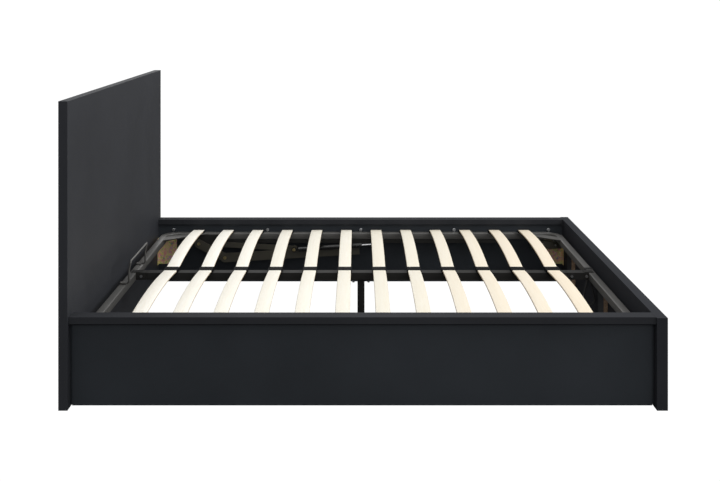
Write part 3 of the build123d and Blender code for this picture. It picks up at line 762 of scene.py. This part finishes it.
def join_skins(name, grids, closed=False):
    """One piece from several runs of outlines."""
    parts = [skin(name, grid, closed) for grid in grids]
    whole = bmesh.new()
    for part in parts:
        whole.from_mesh(part.data)
    for part in parts[1:]:
        bpy.data.objects.remove(part)
    whole.to_mesh(parts[0].data)
    whole.free()
    return parts[0]


holder_high = np.array(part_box("slat_holders")[1])
row_x = [sum(corner[0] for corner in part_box(name)) / 2 for name in slat_nodes if name.startswith("right")]
cover_grids = [holder_cover(x, COVER_HALF, holder_high[1], holder_high[2] - COVER_SUNK) for x in row_x]
covers = join_skins("holder_covers", cover_grids)
covers.data.materials.append(holder_plastic)
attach(covers, "lift_frame")
print("covers made:", len(row_x))

# %% [markdown]
# ## Woven webbing
#
# Webbing is coarse black yarn, woven over and under. The strap has a UV map
# in metres along and across it, and the product of two sine waves, one each
# way, rises at each crossing like the bumps of the weave.

# %% Woven webbing
webbing = Finish("woven_webbing", (0.010, 0.010, 0.010), 0.85, Specular_IOR_Level=0.15, Sheen_Weight=0.04)
woven = webbing.node("UVMap")
woven.uv_map = "strap"
cells = webbing.node("SeparateXYZ", Vector=woven.outputs[0])
YARN = 0.0016
ribs = webbing.calculate("SINE", webbing.calculate("MULTIPLY", cells.outputs[0], 2 * math.pi / YARN), 0.0)
yarns = webbing.calculate("SINE", webbing.calculate("MULTIPLY", cells.outputs[1], 2 * math.pi / YARN), 0.0)
weave = webbing.calculate("MULTIPLY", ribs, yarns)
webbing.colour(webbing.ramp(weave, [(0.0, (0.008, 0.008, 0.008)), (0.6, (0.020, 0.020, 0.021))]))
webbing.roughness(weave, 0.70, 0.85)
webbing.relief(weave, 0.0004, 0.8)
print("weave: a yarn each %.1f mm" % (1000 * YARN))

# %% [markdown]
# ## Pull strap
#
# A strap of black webbing is sewn round the foot tube and hangs in a hand
# loop. Webbing is flat and springy: the loop opens into a drop shape under
# its own stiffness. A flat outline 25 mm wide is carried round the tube and
# round the drop, each a closed run, and the two are one piece.

# %% Pull strap
STRAP_WIDE = 0.025
STRAP_THICK = 0.0019
STRAP_EDGE = STRAP_THICK * 0.45
STRAP_PROUD = 0.002
BAND_EDGE = 0.003
NECK_HALF = 0.0015
DROP_STEPS = 60
BAND_ROWS = 72
LOOP_ROWS = 132


def carried_band(centre_line, inwards, middle_y):
    """The strap's flat outline round a closed line in the XZ plane.

    Point = line + across the thickness times the line's normal, + across the
    width along Y."""
    flat_y, flat_n = rounded_outline(STRAP_WIDE, STRAP_THICK, STRAP_EDGE, 2)
    grid = np.empty((len(centre_line), len(flat_y), 3))
    grid[..., 0] = centre_line[:, None, 0] + flat_n[None, :] * inwards[:, None, 0]
    grid[..., 1] = middle_y + flat_y[None, :]
    grid[..., 2] = centre_line[:, None, 1] + flat_n[None, :] * inwards[:, None, 1]
    return grid


def closed_line(points, count):
    """count points evenly spaced round a closed line, its unit normals and its length.

    A normal is the line's direction, from the points before and after, turned
    a quarter turn."""
    ring = np.vstack([points, points[:1]])
    steps = np.hypot(*np.diff(ring, axis=0).T)
    run = np.concatenate([[0], np.cumsum(steps)])
    where = np.linspace(0, run[-1], count, endpoint=False)
    line = np.column_stack([np.interp(where, run, ring[:, 0]), np.interp(where, run, ring[:, 1])])
    ahead = np.roll(line, -1, 0) - np.roll(line, 1, 0)
    ahead /= np.hypot(*ahead.T)[:, None]
    return line, np.column_stack([-ahead[:, 1], ahead[:, 0]]), run[-1]


strap_low, strap_high = (np.array(corner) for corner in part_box("pull_strap"))
tube_high = np.array(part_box("frame_tube_left")[1])
strap_y = (strap_low[1] + strap_high[1]) / 2
tube_x = tube_high[0] - TUBE_WIDE / 2
band_z = strap_high[2] - STRAP_PROUD - TUBE_TALL / 2
band_u, band_v = rounded_outline(TUBE_WIDE + STRAP_THICK, TUBE_TALL + STRAP_THICK, BAND_EDGE, 5)
band_line = np.column_stack([tube_x + band_u, band_z + band_v])
round_r = (strap_high[0] - strap_low[0]) / 2 - STRAP_THICK / 2
round_z = strap_low[2] + round_r + STRAP_THICK / 2
apex_z = band_z - TUBE_TALL / 2 - STRAP_THICK
# a drop: straight from the apex to where it touches the round end, then round
apex_gap = apex_z - round_z
touch = math.acos(round_r / apex_gap)
turn = np.linspace(math.pi / 2 + touch, 2 * math.pi + math.pi / 2 - touch, DROP_STEPS)
drop = np.column_stack([tube_x + round_r * np.cos(turn), round_z + round_r * np.sin(turn)])
neck = np.array([[tube_x + NECK_HALF, apex_z], [tube_x - NECK_HALF, apex_z]])
drop_line = np.vstack([neck, drop])
band, band_normal, band_run = closed_line(band_line, BAND_ROWS)
loop, loop_normal, loop_run = closed_line(drop_line, LOOP_ROWS)
print("webbing in the strap: %.3f m" % (band_run + loop_run))

strap_parts = [carried_band(band, band_normal, strap_y), carried_band(loop, loop_normal, strap_y)]
strap = join_skins("pull_strap_webbing", strap_parts, closed=True)
strap.data.materials.append(webbing.material)

# along and across the webbing, in metres, for the weave
section = len(strap_parts[0][0])
flat_y = rounded_outline(STRAP_WIDE, STRAP_THICK, STRAP_EDGE, 2)[0]
across = np.tile(flat_y, len(band) + len(loop))
along = np.concatenate([np.linspace(0, band_run, len(band)), np.linspace(0, loop_run, len(loop))])
place_along = np.repeat(along, section)
corner_vertex = np.empty(len(strap.data.loops), np.int32)
strap.data.loops.foreach_get("vertex_index", corner_vertex)
unwrapped = strap.data.uv_layers.new(name="strap")
pairs = np.column_stack([place_along[corner_vertex], across[corner_vertex]]).astype(np.float32)
unwrapped.data.foreach_set("uv", pairs.ravel())
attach(strap, "lift_frame")
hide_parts("pull_strap")
